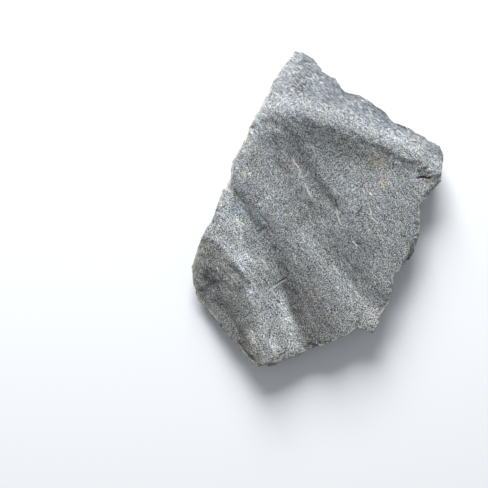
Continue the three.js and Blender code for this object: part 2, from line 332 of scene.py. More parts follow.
def makeReliefTree(controls):
    rules = reliefRules
    tree, control, result = newGeometryTree("surface relief", controls)
    geometry = control["Geometry"]
    seed = control["Seed"]
    position = addNode(tree, "GeometryNodeInputPosition").outputs[0]
    x, y, z = separate(tree, position)
    normal = addNode(tree, "GeometryNodeInputNormal").outputs[0]
    slope = separate(tree, softNormal(tree, rules["softening"]))[2]
    face = rise(tree, calc(tree, "ABSOLUTE", slope), *rules["faceSlope"])
    flank = flankShare(tree, combine(tree, x, y, 0.0), control["Flank reach"])
    grainWay = alongGrain(tree, position, control["Stretch"])
    flankWay = alongGrain(tree, position, rules["flankStretch"], flankTurn)

    def waves(way, size, seedStep, roughness=0.5, detail=2.0):
        seedHere = calc(tree, "ADD", seed, seedStep)
        return noise(tree, way, control[size], detail, roughness, seedHere)

    swing = rules["swing"]
    lumps = centred(tree, waves(grainWay, "Lump size", 1.0))
    lift = product(tree, control["Lump height"], swing, lumps)
    lines = centred(tree, waves(grainWay, "Line spacing", 2.0, 0.6))
    lift = calc(tree, "MULTIPLY_ADD", lines, product(tree, control["Line height"], swing, face), lift)
    flankLines = centred(tree, waves(flankWay, "Flank line spacing", 7.0))
    flankHeight = product(tree, control["Flank line height"], swing, flank, face)
    lift = calc(tree, "MULTIPLY_ADD", flankLines, flankHeight, lift)
    grains = centred(tree, waves(position, "Grain size", 3.0, 0.6, 1.0))
    lift = calc(tree, "MULTIPLY_ADD", grains, product(tree, control["Grain height"], swing), lift)

    # flakes: a broken thin sheet shows as a low terrace with a ragged edge
    patches = waves(grainWay, "Flake size", 5.0, 0.62, 5.0)
    terraces = 0.0
    for edge in rules["flakeEdges"]:
        terraces = total(tree, terraces, rise(tree, patches, edge, edge + rules["flakeRiser"]))
    flakes = product(tree, terraces, control["Flake thickness"], face)
    lift = total(tree, lift, calc(tree, "SUBTRACT", flakes, control["Flake thickness"]))
    moved = addNode(tree, "GeometryNodeSetPosition", {"Geometry": geometry})
    feed(tree, moved.inputs["Offset"], vectorCalc(tree, "SCALE", normal, lift))

    # the underside stays on the surface that the slab rests on; the position is now the moved one
    held = addNode(tree, "GeometryNodeSetPosition", {"Geometry": moved.outputs[0]})
    feed(tree, held.inputs["Position"], combine(tree, x, y, calc(tree, "MAXIMUM", z, 0.0)))

    # what the finish follows: how far a point is from the broken side and from the top, and how
    # much it belongs to the side
    stored = held.outputs[0]
    guides = {
        "rimGap": distanceTo(tree, geometry, strips["side"]),
        "topGap": distanceTo(tree, geometry, strips["paintedTop"]),
        "sideShare": calc(tree, "SUBTRACT", 1.0, face),
    }
    for name, value in guides.items():
        node = addNode(tree, "GeometryNodeStoreNamedAttribute", {"Geometry": stored, "Name": name})
        feed(tree, node.inputs["Value"], value)
        stored = node.outputs[0]
    realized = addNode(tree, "GeometryNodeRealizeInstances", {"Geometry": stored}).outputs[0]
    inputs = {"Geometry": realized, "Material": control["Stone"]}
    finished = addNode(tree, "GeometryNodeSetMaterial", inputs)
    tree.links.new(finished.outputs[0], result)
    return tree


# The fine mesh of the slab: remeshed before and after the breaks, in cells of these sizes.
slabMesh = {"depth": 8, "roughCell": 0.5 * mm, "fineCell": 0.462 * mm, "mergeDistance": 0.01 * mm}


def addRemesh(obj, cell):
    modifier = obj.modifiers.new("cells", "REMESH")
    modifier.mode = "SHARP"
    modifier.octree_depth = slabMesh["depth"]
    modifier.scale = (cadBox[1][1] - cadBox[0][1]) / (cell * 2 ** slabMesh["depth"])
    modifier.use_smooth_shade = True


# Broad streaks on the top, partly the stone's own tone, partly painted shade where folds and slopes
# face away from the light and painted highlight where they face it: a path on the plan in
# millimetres, how far the streak reaches to the left and to the right of it, how much lighter or
# darker the stone is there, and how much warmer.
streaks = [
    # the hollow along the lower left rim: painted shade where it slopes away from the light, with
    # lighter streaks
    {"toneAndShade": -0.15, "warmth": 0.25, "left": 0.7, "right": 14,
     "path": [(-42, -10), (-37.5, -12.3), (-34.5, -14.5), (-32, -17.5), (-30, -20.5), (-27.5, -25),
              (-25, -31), (-23, -38), (-21.5, -46), (-20, -56)]},
    {"toneAndShade": -0.1, "warmth": -0.1, "left": 2, "right": 2,
     "path": [(-41, -21), (-38.5, -24.5), (-35.5, -28.5), (-32, -32)]},
    {"toneAndShade": 0.7, "warmth": 0.5, "left": 2.2, "right": 2.4, "path": [(-36, -20), (-31, -24.5)]},
    {"toneAndShade": -0.5, "warmth": -0.4, "left": 1.2, "right": 1.2,
     "path": [(-29.5, -20.5), (-27.5, -23.5), (-25, -27), (-21.5, -30.8)]},
    {"toneAndShade": -0.4, "warmth": 0, "left": 2.4, "right": 2,
     "path": [(-36, -33), (-31, -37), (-28, -42), (-25.5, -48)]},
    {"toneAndShade": -0.1, "warmth": 0.1, "left": 3.5, "right": 3,
     "path": [(-41, -26), (-34, -37), (-28, -46), (-22, -55)]},
    {"toneAndShade": 0.2, "warmth": 0.4, "left": 4, "right": 3, "path": [(-43, -10), (-42, -16), (-43, -24)]},
    {"toneAndShade": 0.35, "warmth": 0.1, "left": 1.2, "right": 1.2, "path": [(-28, -40), (-24.2, -43)]},
    # the dark scarp, painted shade where it faces away from the light, broad at its lower end
    {"toneAndShade": -0.2, "warmth": 0, "left": 2.2, "right": 2,
     "path": [(-30, 8), (-25.5, 2.8), (-21.8, -4.5), (-18.4, -9.8), (-14.4, -16), (-12.5, -19)]},
    {"toneAndShade": 0.1, "warmth": 0, "left": 2, "right": 2, "path": [(-15.5, -2), (-13.2, -7), (-11.6, -12)]},
    {"toneAndShade": -0.45, "warmth": 0.1, "left": 8.5, "right": 1.2,
     "path": [(-12.2, -26.5), (-9.4, -33.2), (-6.6, -40.8), (-3.1, -46.5), (0, -52)]},
    {"toneAndShade": -0.15, "warmth": 0, "left": 2.5, "right": 1,
     "path": [(-12.6, -28.5), (-10.5, -33), (-8.6, -37)]},
    # the bottom rim, a painted highlight along its edge
    {"toneAndShade": 0.65, "warmth": 0.3, "left": 1, "right": 1.6,
     "path": [(-15, -55.4), (-7.3, -53.2), (-3.3, -50.8), (3.6, -48.8), (10.2, -45.4), (14.4, -42.4)]},
    # light bands of the hump and of its blunt edge: painted highlight where they face the light
    {"toneAndShade": 0.1, "warmth": -0.2, "left": 4.5, "right": 3,
     "path": [(-34.5, 3), (-33, -4), (-30.5, -13), (-26, -19)]},
    {"toneAndShade": 0.35, "warmth": 0, "left": 4, "right": 3,
     "path": [(-26, -21), (-22.5, -31), (-18.8, -41), (-15.5, -50)]},
    {"toneAndShade": 0.7, "warmth": -0.1, "left": 1.3, "right": 2.5,
     "path": [(-15, -31), (-12.4, -35.5), (-9.6, -42.5), (-7, -49)]},
    {"toneAndShade": 0.7, "warmth": 0.1, "left": 0.8, "right": 1.6, "path": [(-29, -3.5), (-28.2, -8)]},
    {"toneAndShade": 0.1, "warmth": -0.2, "left": 1.6, "right": 1.6,
     "path": [(-35, -11), (-31, -14.5), (-28, -18)]},
    {"toneAndShade": 0.3, "warmth": -0.1, "left": 1.2, "right": 1.5, "path": [(-25.5, -16.5), (-22, -20)]},
    {"toneAndShade": 0.4, "warmth": -0.1, "left": 4.5, "right": 0.8,
     "path": [(-40.5, -8.5), (-36.8, -11), (-33.6, -13.2), (-31, -16.5), (-29, -19.6)]},
    # below the ridge: painted light and shade of its slopes, and a warmer streak
    {"toneAndShade": 0.2, "warmth": 0.1, "left": 1.5, "right": 3,
     "path": [(9, 26.5), (15, 24), (21, 21.5), (28, 18.3), (34, 15), (38, 12.5)]},
    {"toneAndShade": 0.05, "warmth": 0.6, "left": 2.5, "right": 4, "path": [(7, 26), (15, 21), (23, 16.5)]},
    {"toneAndShade": 0.65, "warmth": 0, "left": 2.2, "right": 3,
     "path": [(-25, 29.5), (-21, 29.8), (-17.5, 29)]},
    {"toneAndShade": -0.15, "warmth": 0, "left": 2, "right": 3.5, "path": [(-6, 27), (1, 25), (7, 21.5)]},
    {"toneAndShade": 0.7, "warmth": 0, "left": 2, "right": 4, "path": [(23, 19.5), (31, 15), (40, 10)]},
    # painted light and shade of the small folds of the main face
    {"toneAndShade": -0.2, "warmth": 0, "left": 2.4, "right": 2.4,
     "path": [(-9, 24.5), (-5, 18.8), (-0.5, 13.2), (3.8, 6.9), (8, 1.5)]},
    {"toneAndShade": -0.35, "warmth": 0, "left": 1.8, "right": 1.6,
     "path": [(-14.5, 25.5), (-10, 21), (-5.8, 16), (-2.5, 12.5), (0, 9.2), (3.2, 5.5), (6, 1)]},
    {"toneAndShade": 0.15, "warmth": 0, "left": 1.6, "right": 1.6,
     "path": [(1, 13.5), (4, 9.5), (8, 3.5), (12, -2)]},
    {"toneAndShade": -0.2, "warmth": 0, "left": 2, "right": 2,
     "path": [(-17, 25), (-13.5, 17.8), (-9.8, 10.5), (-6, 4)]},
    {"toneAndShade": -0.1, "warmth": 0, "left": 4, "right": 3,
     "path": [(2.9, -9.5), (9, -15.5), (13.5, -22), (19.5, -27.5), (25, -31)]},
    {"toneAndShade": 0.3, "warmth": 0, "left": 2.5, "right": 3,
     "path": [(-3, -11), (3.3, -20), (8.5, -25.5), (13.1, -31.9), (17.4, -35.8), (21, -40)]},
    {"toneAndShade": -0.15, "warmth": 0, "left": 3, "right": 3,
     "path": [(10.5, -9), (15.5, -11.5), (18.5, -14.5)]},
    {"toneAndShade": 0.15, "warmth": 0, "left": 1.4, "right": 1.4, "path": [(7, -5.5), (8.5, -9), (10.5, -14)]},
    {"toneAndShade": -0.15, "warmth": 0, "left": 5, "right": 5, "path": [(-2, -24), (1, -34), (4, -42)]},
    # the lit edge of the ridge's right end
    {"toneAndShade": 0.5, "warmth": 0.1, "left": 1.2, "right": 1.6,
     "path": [(27, 20.6), (32, 17.8), (37.5, 14.6)]},
    # a light and a dark band across the middle of the main face
    {"toneAndShade": 0.25, "warmth": 0, "left": 1.5, "right": 1.5, "path": [(-8, -8.5), (-3, -6.3), (3, -6.2)]},
    {"toneAndShade": -0.25, "warmth": 0, "left": 2, "right": 2, "path": [(-4, -1.5), (2, -1.6), (8, -3)]},
    # near the left rim of the main face, a painted highlight where the face rounds over to the rim, and
    # its broad right part
    {"toneAndShade": 0.2, "warmth": 0, "left": 3.5, "right": 3,
     "path": [(-20, 36), (-23.5, 27), (-27.5, 18), (-30.5, 10)]},
    {"toneAndShade": 0.05, "warmth": 0, "left": 8, "right": 8, "path": [(14, 12), (22, 5), (32, -2)]},
    {"toneAndShade": 0.05, "warmth": 0, "left": 2.5, "right": 2.5, "path": [(12, 1.5), (17, -1), (19.5, -5)]},
    # the ridge and the slope behind it, lightened with painted highlight where they face the light
    {"toneAndShade": 0.15, "warmth": 0, "left": 4, "right": 3, "path": [(33, 22), (40, 18.5), (45, 15)]},
    {"toneAndShade": 0.5, "warmth": 0, "left": 3, "right": 4, "path": [(-14, 46), (-11, 52), (-8, 56)]},
    {"toneAndShade": 0.35, "warmth": 0, "left": 3.5, "right": 2.4,
     "path": [(-16, 38), (-6, 38), (4.7, 34), (15.6, 30.3), (26.5, 25.5), (37.5, 20), (44, 16)]},
    {"toneAndShade": 0.05, "warmth": -0.4, "left": 4, "right": 3,
     "path": [(-11, 49), (-3, 45.5), (6, 40.5), (14, 37), (24, 31.5)]},
]

# Small spots and stains, several of them painted light and painted shade: centre, radius, and what they
# do to the tone and shade and to the warmth.
spots = [
    {"at": (22.2, 17.8), "radius": 2.6, "toneAndShade": -0.4, "warmth": 1.6},
    {"at": (24, 9.5), "radius": 2, "toneAndShade": 0.3, "warmth": 1.3},
    {"at": (-25.8, 12.7), "radius": 1.6, "toneAndShade": 0.65, "warmth": 1.2},
    {"at": (-12, 15.6), "radius": 1.8, "toneAndShade": -0.2, "warmth": 1.2},
    {"at": (-18, 30.9), "radius": 0.9, "toneAndShade": -0.1, "warmth": 1.8},
    {"at": (-24.2, -29.6), "radius": 1.3, "toneAndShade": 0.7, "warmth": -1.5},
    {"at": (-29.8, 0.8), "radius": 1.6, "toneAndShade": -0.2, "warmth": -2},
    {"at": (-27.4, -0.4), "radius": 1.7, "toneAndShade": 0.35, "warmth": -2.4},
    {"at": (-40, -23.8), "radius": 2.2, "toneAndShade": -0.6, "warmth": -0.3},
    {"at": (-36.6, -26.6), "radius": 2, "toneAndShade": -0.15, "warmth": -0.3},
    {"at": (21, 5), "radius": 4, "toneAndShade": 0.2, "warmth": 0},
    {"at": (-6, 44), "radius": 3, "toneAndShade": -0.35, "warmth": 0},
    {"at": (-22, -47.5), "radius": 2.4, "toneAndShade": 0.7, "warmth": 0},
    {"at": (15.5, -12.5), "radius": 3.6, "toneAndShade": -0.25, "warmth": 0},
    {"at": (40.2, 13.4), "radius": 1.6, "toneAndShade": 0.7, "warmth": 0.2},
    {"at": (38.5, 11.5), "radius": 2.2, "toneAndShade": 0.2, "warmth": 0.9},
    {"at": (10.2, 26.5), "radius": 0.5, "toneAndShade": 0.7, "warmth": 0},
    {"at": (14.5, 22.2), "radius": 0.5, "toneAndShade": 0.7, "warmth": 0},
    {"at": (20, 21.5), "radius": 0.7, "toneAndShade": 0.6, "warmth": -0.3},
]

# Fine marks on the top, each a path on the plan in millimetres. The dark cracks are partly real cracks
# and partly painted shadow at the foot of small steps, and the flake marks are painted highlight on lit
# flake edges.
marks = {
    "crackAndShadow": [
        [(-37.8, -25.2), (-36.2, -27), (-34.8, -29.6)],
        [(5.9, 4.8), (6.6, 2.4), (7.3, -0.3)],
        [(-15.4, -27.4), (-13, -25.7), (-10.4, -24.2)],
        [(-19.1, -24.9), (-18.6, -26.2), (-17.7, -27.6)],
        [(-15.3, -31.8), (-14.1, -33), (-13.1, -34.4)],
        [(-13.8, -53.4), (-12.2, -52), (-10.6, -51)],
    ],
    "split": [
        [(35.4, 10.9), (37.2, 11.4), (39.2, 11), (41, 11.5)],
    ],
    "scratch": [
        [(-19.4, -31.2), (-16.6, -28.9), (-13.6, -26.8), (-10.9, -25.2)],
        [(-9.3, 18.3), (-7.5, 15.6), (-5.8, 12.6)],
        [(-4.9, 9.6), (-3.8, 7), (-2.1, 3.6)],
        [(5.3, -19.8), (6.7, -21.9), (8.2, -24)],
        [(11.8, -10.8), (13.1, -12.3), (14.4, -13.6)],
        [(18, 2.6), (18.9, -0.9), (19.4, -3.2), (20.7, -4.7)],
        [(6.9, 0.2), (7, -2.6), (8.7, -6.3)],
        [(28.6, 28.6), (29.6, 27.8), (30.7, 26.9)],
    ],
    "flakeHighlight": [
        [(-34, 7.2), (-32.4, 6.6), (-30.7, 5)],
        [(-29.4, -3.6), (-27.8, -6.6), (-27.6, -10), (-28.4, -12.6)],
        [(-37, -1.5), (-35, -2.2), (-33.5, -3.6)],
        [(-22.5, -17), (-19.6, -19.2), (-18.6, -22.4)],
    ],
}

# Where the surface is flaky: paths on the plan in millimetres and how far the flaking reaches.
flakyZones = [
    {"path": [(-33.5, 4), (-31, -5), (-27, -13)], "reach": 5},
    {"path": [(-25.5, -20), (-22, -30)], "reach": 4},
    {"path": [(-13.5, -33), (-9, -45)], "reach": 2.4},
    {"path": [(-22, -46), (-16, -51)], "reach": 4},
]

# Stretches of the rim with a thin warm painted highlight along the edge: its reach and paths on the
# plan in millimetres.
rimHighlights = {
    "reach": 3,
    "paths": [
        [(-8, 57), (-16.4, 44.7), (-24.4, 29), (-30.8, 16.4), (-31.6, 10), (-34, 6)],
        [(-44, -15), (-45.3, -21), (-43, -34), (-35.5, -42), (-26.3, -53), (-21.8, -57.7)],
        [(-15, -56.2), (-3.3, -51.6), (10.2, -46.2), (14.4, -43)],
        [(20.6, -44.8), (21.8, -42.9), (23.5, -38.2), (26.2, -32.7), (28, -24.4)],
        [(35.3, -14.2), (36.7, -9.8), (36.8, 0.7), (39.5, 3.3), (44.2, 9.1)],
    ],
}

# The crest of the ridge. Beyond it the flank falls to the upper right edge: how many millimetres
# from the crest it starts and is full, and how far up the plan it fades towards the tip.
ridgeCrest = {
    "path": [(-30, 30.5), (-17.8, 32.2), (-8.7, 32.7), (-1.5, 30.6), (7.3, 27.7), (15.6, 24.7),
             (25.5, 20.9), (34.9, 16), (42, 11.4), (52, 4.6)],
    "flankFrom": 5,
    "flankFull": 9.5,
    "tipFrom": 46,
    "tipFull": 53,
    "tipShare": 0.35,
}

# The whole face turns from a warmer grey at the lower end to a cooler one at the pointed end.
hueDrift = {"ends": (-55, 55), "warmths": (0.22, -0.45)}

# The paint belongs to the top: its share at a point follows from how far the surface faces up.
topShareRule = {"gain": 2, "base": 0.6, "marksFrom": 0.5}
farAway = 1e9  # farther than any mark


def pathPlace(points, path):  # distance in millimetres, positive on the left, and place along, 0 to 1
    best = np.full(len(points), farAway)
    along = np.zeros(len(points))
    for index, ends in enumerate(zip(path, path[1:])):
        start, end = np.array(ends, float)
        way = end - start
        share = np.clip((points - start) @ way / (way @ way), 0, 1)
        gap = points - start - share[:, None] * way
        side = np.where(way[0] * gap[:, 1] - way[1] * gap[:, 0] < 0, -1, 1)
        away = np.hypot(gap[:, 0], gap[:, 1])
        nearer = away < np.abs(best)
        best = np.where(nearer, side * away, best)
        along = np.where(nearer, (index + share) / (len(path) - 1), along)
    return best, along


def bell(away, width):
    return np.exp(-((away / width) ** 2))


def paintFields(points):  # what the finish follows at each point of the plan, in millimetres
    fields = {name: np.zeros(len(points)) for name in ("toneAndShade", "warmth", "rimHighlight", "flaky")}
    fields["warmth"] += np.interp(points[:, 1], hueDrift["ends"], hueDrift["warmths"])
    crest = ridgeCrest
    beyond = pathPlace(points, crest["path"])[0]
    fields["flank"] = np.interp(beyond, (crest["flankFrom"], crest["flankFull"]), (0, 1))
    tip = (crest["tipFrom"], crest["tipFull"])
    fields["flank"] *= np.interp(points[:, 1], tip, (1, crest["tipShare"]))

    def paint(area, share):
        fields["toneAndShade"] += area["toneAndShade"] * share
        fields["warmth"] += area["warmth"] * share

    for streak in streaks:
        away = pathPlace(points, streak["path"])[0]
        paint(streak, bell(away, np.where(away > 0, streak["left"], streak["right"])))
    for spot in spots:
        paint(spot, bell(np.hypot(*(points - spot["at"]).T), spot["radius"]))
    for zone in flakyZones:
        share = bell(pathPlace(points, zone["path"])[0], zone["reach"])
        fields["flaky"] = np.maximum(fields["flaky"], share)
    for path in rimHighlights["paths"]:
        share = bell(pathPlace(points, path)[0], rimHighlights["reach"])
        fields["rimHighlight"] = np.maximum(fields["rimHighlight"], share)
    return fields


def markFields(points, onTop):  # how far a point lies from the nearest mark of each kind
    fields = {}
    for kind, paths in marks.items():
        across = np.full(len(points), farAway)
        along = np.zeros(len(points))
        for path in paths:
            away, place = pathPlace(points, path)
            nearer = np.abs(away) < np.abs(across)
            across = np.where(nearer, away, across)
            along = np.where(nearer, place, along)
        fields[kind + "Across"] = np.where(onTop, across, farAway) * mm
        fields[kind + "Along"] = along
    return fields


def readVectors(data, name):
    values = np.empty(len(data) * 3, np.float32)
    data.foreach_get(name, values)
    return values.reshape(-1, 3)


def setAttributes(mesh):
    rule = topShareRule
    points = readVectors(mesh.vertices, "co")[:, :2] / mm
    facingUp = readVectors(mesh.vertex_normals, "vector")[:, 2]
    topShare = np.clip(rule["gain"] * facingUp + rule["base"], 0, 1)
    fields = paintFields(points)
    for name in ("toneAndShade", "warmth", "flaky", "flank"):
        fields[name] *= topShare
    fields.update(markFields(points, topShare >= rule["marksFrom"]))
    for name, values in fields.items():
        stored = mesh.attributes.new(name, "FLOAT", "POINT")
        stored.data.foreach_set("value", values.astype(np.float32))


def makeSlab(stone):
    source = frame["nodes"]["phyllite_slab"]
    rough = bpy.data.objects.new("roughSlab", source.data.copy())
    bpy.context.scene.collection.objects.link(rough)
    joined = bmesh.new()
    joined.from_mesh(rough.data)
    bmesh.ops.remove_doubles(joined, verts=joined.verts, dist=slabMesh["mergeDistance"])
    joined.to_mesh(rough.data)
    joined.free()
    addRemesh(rough, slabMesh["roughCell"])
    addTree(rough, makeBreaksTree(), sheetBreaks)
    addRemesh(rough, slabMesh["fineCell"])
    relief = {**surfaceRelief, "Stone": stone}
    addTree(rough, makeReliefTree(relief), relief)
    evaluated = rough.evaluated_get(bpy.context.evaluated_depsgraph_get())
    mesh = bpy.data.meshes.new_from_object(evaluated)
    mesh.name = "phylliteSlab"
    setAttributes(mesh)
    slab = bpy.data.objects.new("phylliteSlab", mesh)
    bpy.context.scene.collection.objects.link(slab)
    bpy.data.objects.remove(rough)
    return slab


# Small helpers for the finish.
def attribute(tree, name):
    return addNode(tree, "ShaderNodeAttribute", attribute_name=name).outputs["Fac"]


def mixColour(tree, share, first, second, blend="MIX"):
    node = addNode(tree, "ShaderNodeMix", data_type="RGBA", blend_type=blend)
    for index, value in ((0, share), (6, first), (7, second)):  # the sockets for colours
        feed(tree, node.inputs[index], value)
    return node.outputs[2]


def tinted(tree, colour, tint):
    return mixColour(tree, 1.0, colour, tint, "MULTIPLY")


def shaded(tree, colour, amount):  # the colour made lighter or darker by this factor
    inputs = {"Red": amount, "Green": amount, "Blue": amount}
    return tinted(tree, colour, addNode(tree, "ShaderNodeCombineColor", inputs).outputs[0])


def ramp(tree, value, stops):
    node = addNode(tree, "ShaderNodeValToRGB", {"Fac": value})
    while len(node.color_ramp.elements) < len(stops):
        node.color_ramp.elements.new(0.5)
    for element, (place, colour) in zip(node.color_ramp.elements, stops):
        element.position = place
        element.color = colour
    return node.outputs[0]


# The finish is made in layers, each with its values above the function that uses them. Two numbers
# in brackets are where a smooth step starts and ends, and two more what it goes from and to. The
# first layer gives the colour, each later one takes it and returns the new one, and a layer that
# has relief adds it to heights.

# Mineral grains: dark chlorite, grey quartz and pale mica, with a few larger flecks.
grainFinish = {
    "colours": (  # from dark to light, and where each lies in the grain's noise
        (0.22, (0.024, 0.027, 0.029, 1)),
        (0.5, (0.158, 0.173, 0.177, 1)),
        (0.8, (0.52, 0.541, 0.551, 1)),
    ),
    "fineSize": 0.16 * mm,
    "fineStretch": 2.8,
    "fineTurn": math.radians(-45),  # the finest grains lie a little flatter than the lineation
    "flankSize": 0.24 * mm,
    "flankStretch": 5.5,
    "coarseSize": 0.62 * mm,
    "coarseStretch": 3.5,
    "coarseShare": 0.07,
    "contrast": 4.15,
    "darkContrast": 2.4,  # added where the tone and painted shade make the stone darker
    "lightContrast": -1.3,
    "flankContrast": -2.75,
    "fleck": (0.62, 0.64, 0.65, 1),
    "fleckSpacing": 1.8 * mm,
    "fleckSize": (0.3, 1.0, 0.0, 0.17),
    "fleckCore": 0.5,  # the share of a fleck's radius where it is full
    "fleckRaggedness": 0.25,
}


def addGrains(tree, place, here, heights):
    look = grainFinish
    way = alongGrain(tree, place, look["fineStretch"], look["fineTurn"])
    flankWay = alongGrain(tree, place, look["flankStretch"], flankTurn)
    coarseWay = alongGrain(tree, place, look["coarseStretch"])
    fine = noise(tree, way, look["fineSize"], detail=1.0, seed=1.0)
    flankFine = noise(tree, flankWay, look["flankSize"], detail=1.0, seed=15.0)
    fine = mixNumber(tree, here["flank"], fine, flankFine)
    coarse = noise(tree, coarseWay, look["coarseSize"], roughness=0.6, seed=2.0)
    coarsePart = product(tree, coarse, look["coarseShare"])
    grain = calc(tree, "MULTIPLY_ADD", fine, 1 - look["coarseShare"], coarsePart)
    darker = calc(tree, "MAXIMUM", product(tree, here["toneAndShade"], -1.0), 0.0)
    lighter = calc(tree, "MAXIMUM", here["toneAndShade"], 0.0)
    contrast = calc(tree, "MULTIPLY_ADD", lighter, look["lightContrast"], look["contrast"])
    contrast = calc(tree, "MULTIPLY_ADD", darker, look["darkContrast"], contrast)
    contrast = calc(tree, "MULTIPLY_ADD", here["flank"], look["flankContrast"], contrast)
    grain = calc(tree, "MULTIPLY_ADD", centred(tree, grain), contrast, 0.5)
    colour = ramp(tree, grain, look["colours"])

    cells = addNode(tree, "ShaderNodeTexVoronoi", {"Vector": way, "Scale": 1 / look["fleckSpacing"]})
    size = rise(tree, separate(tree, cells.outputs["Color"])[0], *look["fleckSize"])
    away = cells.outputs["Distance"]
    away = calc(tree, "MULTIPLY_ADD", centred(tree, fine), look["fleckRaggedness"], away)
    fleck = rise(tree, away, size, product(tree, size, look["fleckCore"]))
    heights["grains"] = grain
    return mixColour(tree, fleck, colour, look["fleck"]), coarse, fleck


# What makes the stone lighter or darker: lines along the lineation, blotches, the tone of the streaks
# and spots with its painted light and shade, the ends of thin sheets along the flank's edge, and thin
# bands of light and dark sheets on the broken sides.
shadeFinish = {
    "lineSpacing": 0.6 * mm,
    "lineStretch": 12.0,
    "lineShade": (0.25, 0.75, 0.77, 1.23),
    "blotchSize": 8 * mm,
    "blotchShade": (0.25, 0.75, 0.9, 1.1),
    "edgeSpacing": 0.75 * mm,
    "edgeStretch": 8.0,
    "edgeShade": (0.35, 0.65, 0.74, 1.25),
    "flankTint": (0.997, 0.983, 1.02, 1),
    "bandThickness": 0.55 * mm,
    "bandShade": (0.3, 0.7, 0.5, 1.2),
    "bandChange": 0.07,  # how fast the bands change along the rim, beside across the sheets
    "swaySize": 14 * mm,
    "sway": 2.4 * mm,
}


def addShades(tree, place, here, colour, heights):
    look = shadeFinish
    grainWay = alongGrain(tree, place, grainFinish["fineStretch"], grainFinish["fineTurn"])
    lineWay = alongGrain(tree, place, look["lineStretch"])
    edgeWay = alongGrain(tree, place, look["edgeStretch"], flankTurn)
    lines = noise(tree, lineWay, look["lineSpacing"], detail=3.0, roughness=0.55, seed=3.0)
    blotches = noise(tree, grainWay, look["blotchSize"], detail=3.0, roughness=0.55, seed=4.0)
    edges = noise(tree, edgeWay, look["edgeSpacing"], detail=3.0, roughness=0.6, seed=13.0)
    x, y, z = separate(tree, place)
    sway = product(tree, noise(tree, place, look["swaySize"], seed=11.0), look["sway"])
    bandX = product(tree, x, look["bandChange"])
    bandY = product(tree, y, look["bandChange"])
    bandWay = combine(tree, bandX, bandY, total(tree, z, sway))
    bands = noise(tree, bandWay, look["bandThickness"], detail=3.0, roughness=0.65, seed=5.0)
    amount = product(
        tree,
        rise(tree, lines, *look["lineShade"]),
        rise(tree, blotches, *look["blotchShade"]),
        # the streaks' and spots' tone, with its painted light and shade
        total(tree, here["toneAndShade"], 1.0),
        mixNumber(tree, here["flank"], 1.0, rise(tree, edges, *look["edgeShade"])),
        mixNumber(tree, here["sideShare"], 1.0, rise(tree, bands, *look["bandShade"])),
    )
    colour = shaded(tree, colour, amount)
    heights["lines"] = lines
    heights["edges"] = product(tree, edges, here["flank"])
    heights["bands"] = product(tree, bands, here["sideShare"])
    return mixColour(tree, here["flank"], colour, tinted(tree, colour, look["flankTint"]))


# Flakes: pale patches with a bright broken edge, partly fresh stone and partly a painted highlight
# where the edge catches the light, on ground that is a little darker.
freshStoneAndHighlight = (0.7, 0.7, 0.68, 1)  # newly broken and scratched stone, and the painted highlight on lit edges
flakeFinish = {
    "size": 3.2 * mm,
    "stretch": 1.9,
    "patch": (0.5, 0.52),
    "paleness": 0.4,
    "groundShade": -0.14,
    "edgeAt": 0.515,
    "edgeWidth": (0.02, 0.005),
    "edgeShare": 0.5,
}


def addFlakes(tree, place, here, colour, heights):
    look = flakeFinish
    way = alongGrain(tree, place, look["stretch"])
    patches = noise(tree, way, look["size"], detail=5.0, roughness=0.66, seed=12.0)
    lifted = product(tree, rise(tree, patches, *look["patch"]), here["flaky"])
    edgeGap = calc(tree, "ABSOLUTE", calc(tree, "SUBTRACT", patches, look["edgeAt"]))
    # the bright edge: fresh stone with a painted highlight
    edge = product(tree, rise(tree, edgeGap, *look["edgeWidth"]), here["flaky"], look["edgeShare"])
    ground = calc(tree, "MULTIPLY_ADD", here["flaky"], look["groundShade"], 1.0)
    colour = shaded(tree, colour, calc(tree, "MULTIPLY_ADD", lifted, look["paleness"], ground))
    heights["flakes"] = lifted
    return mixColour(tree, edge, colour, freshStoneAndHighlight)


# Warm, cool and bluish stains, small differences of hue, and pale veins in the warmest stains.
hueFinish = {
    "warmTint": (1.12, 1.0, 0.8, 1),
    "coolTint": (0.957, 0.991, 1.045, 1),
    "blueTint": (0.84, 0.97, 1.16, 1),
    "stainSize": 8 * mm,
    "warmStain": (0.5, 0.72, 0.0, 0.2),
    "coolStain": (0.5, 0.3, 0.0, 0.4),
    "blueStain": (0.9, 2.2),
    "speckleSize": 1.2 * mm,
    "speckle": (0.35, 0.6),
    "hueSize": 2.2 * mm,
    "warmSpread": 0.22,
    "greenSpread": 0.19,
    "vein": (0.6, 0.56, 0.44, 1),
    "veinSize": 2.4 * mm,
    "veinWidth": (0.045, 0.008),
    "veinWarmth": (0.55, 1.3),
    "veinShare": 0.55,
}


